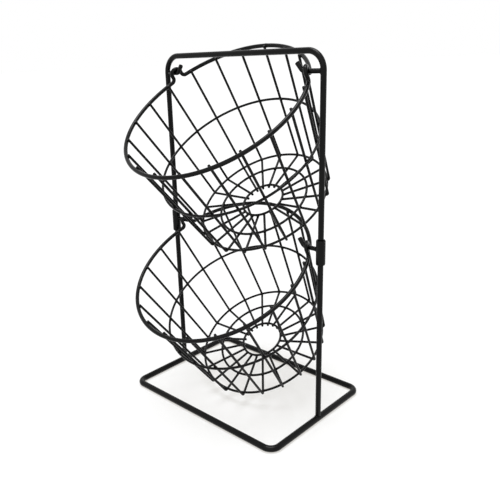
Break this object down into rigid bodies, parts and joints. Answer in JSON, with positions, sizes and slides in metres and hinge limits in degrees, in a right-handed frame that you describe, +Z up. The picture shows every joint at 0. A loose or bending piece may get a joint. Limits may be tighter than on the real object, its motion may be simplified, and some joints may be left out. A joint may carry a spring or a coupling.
{
  "type": "two-tier fruit basket",
  "caption": "Tabletop wire stand with an upper and a lower round wire basket, each hung at two kinks of its rim on a pair of hooks and tipped toward the front.",
  "frame": {"origin": "on the table, at the middle of the underside of the base loop's front bar", "axes": "+Z up; +X across the stand, from its left post to its right post as seen from the front; +Y from the front bar back, so the mouths tip toward -Y"},
  "size_m": [0.251, 0.257, 0.4428],
  "materials": {
    "base_loop": "satin black powder coat",
    "lower_post": "satin black powder coat",
    "sleeve": "satin black powder coat",
    "upper_frame": "satin black powder coat",
    "hook": "satin black powder coat",
    "rim": "satin black powder coat",
    "mid_hoop": "satin black powder coat",
    "corner_hoop": "satin black powder coat",
    "bottom_ring": "satin black powder coat",
    "centre_ring": "satin black powder coat",
    "wire": "satin black powder coat"
  },
  "bodies": {
    "base": {"base_loop": "base_loop", "lower_post_left": "lower_post", "lower_post_right": "lower_post", "sleeve_left": "sleeve", "sleeve_right": "sleeve", "lower_hook_left": "hook", "lower_hook_right": "hook"},
    "upper_stand": {"upper_frame": "upper_frame", "upper_hook_left": "hook", "upper_hook_right": "hook"},
    "upper_basket": {"upper_rim": "rim", "upper_mid_hoop": "mid_hoop", "upper_corner_hoop": "corner_hoop", "upper_bottom_ring": "bottom_ring", "upper_centre_ring": "centre_ring", "upper_wire_01": "wire", "upper_wire_02": "wire", "upper_wire_03": "wire", "upper_wire_04": "wire", "upper_wire_05": "wire", "upper_wire_06": "wire", "upper_wire_07": "wire", "upper_wire_08": "wire", "upper_wire_09": "wire", "upper_wire_10": "wire", "upper_wire_11": "wire", "upper_wire_12": "wire", "upper_wire_13": "wire", "upper_wire_14": "wire", "upper_wire_15": "wire", "upper_wire_16": "wire", "upper_wire_17": "wire", "upper_wire_18": "wire", "upper_wire_19": "wire", "upper_wire_20": "wire"},
    "lower_basket": {"lower_rim": "rim", "lower_mid_hoop": "mid_hoop", "lower_corner_hoop": "corner_hoop", "lower_bottom_ring": "bottom_ring", "lower_centre_ring": "centre_ring", "lower_wire_01": "wire", "lower_wire_02": "wire", "lower_wire_03": "wire", "lower_wire_04": "wire", "lower_wire_05": "wire", "lower_wire_06": "wire", "lower_wire_07": "wire", "lower_wire_08": "wire", "lower_wire_09": "wire", "lower_wire_10": "wire", "lower_wire_11": "wire", "lower_wire_12": "wire", "lower_wire_13": "wire", "lower_wire_14": "wire", "lower_wire_15": "wire", "lower_wire_16": "wire", "lower_wire_17": "wire", "lower_wire_18": "wire", "lower_wire_19": "wire", "lower_wire_20": "wire"}
  },
  "joints": [
    {"name": "upper_stand_lift", "type": "slide", "parent": "base", "child": "upper_stand", "axis": [0, 0, 1], "range_m": [0, 0.0167]},
    {"name": "upper_basket_swing", "type": "hinge", "parent": "upper_stand", "child": "upper_basket", "pos_m": [0, 0.0859, 0.41202], "axis": [1, 0, 0], "range_deg": [-45, 1]},
    {"name": "lower_basket_swing", "type": "hinge", "parent": "base", "child": "lower_basket", "pos_m": [0, 0.08947, 0.22018], "axis": [1, 0, 0], "range_deg": [-45, 5]}
  ]
}
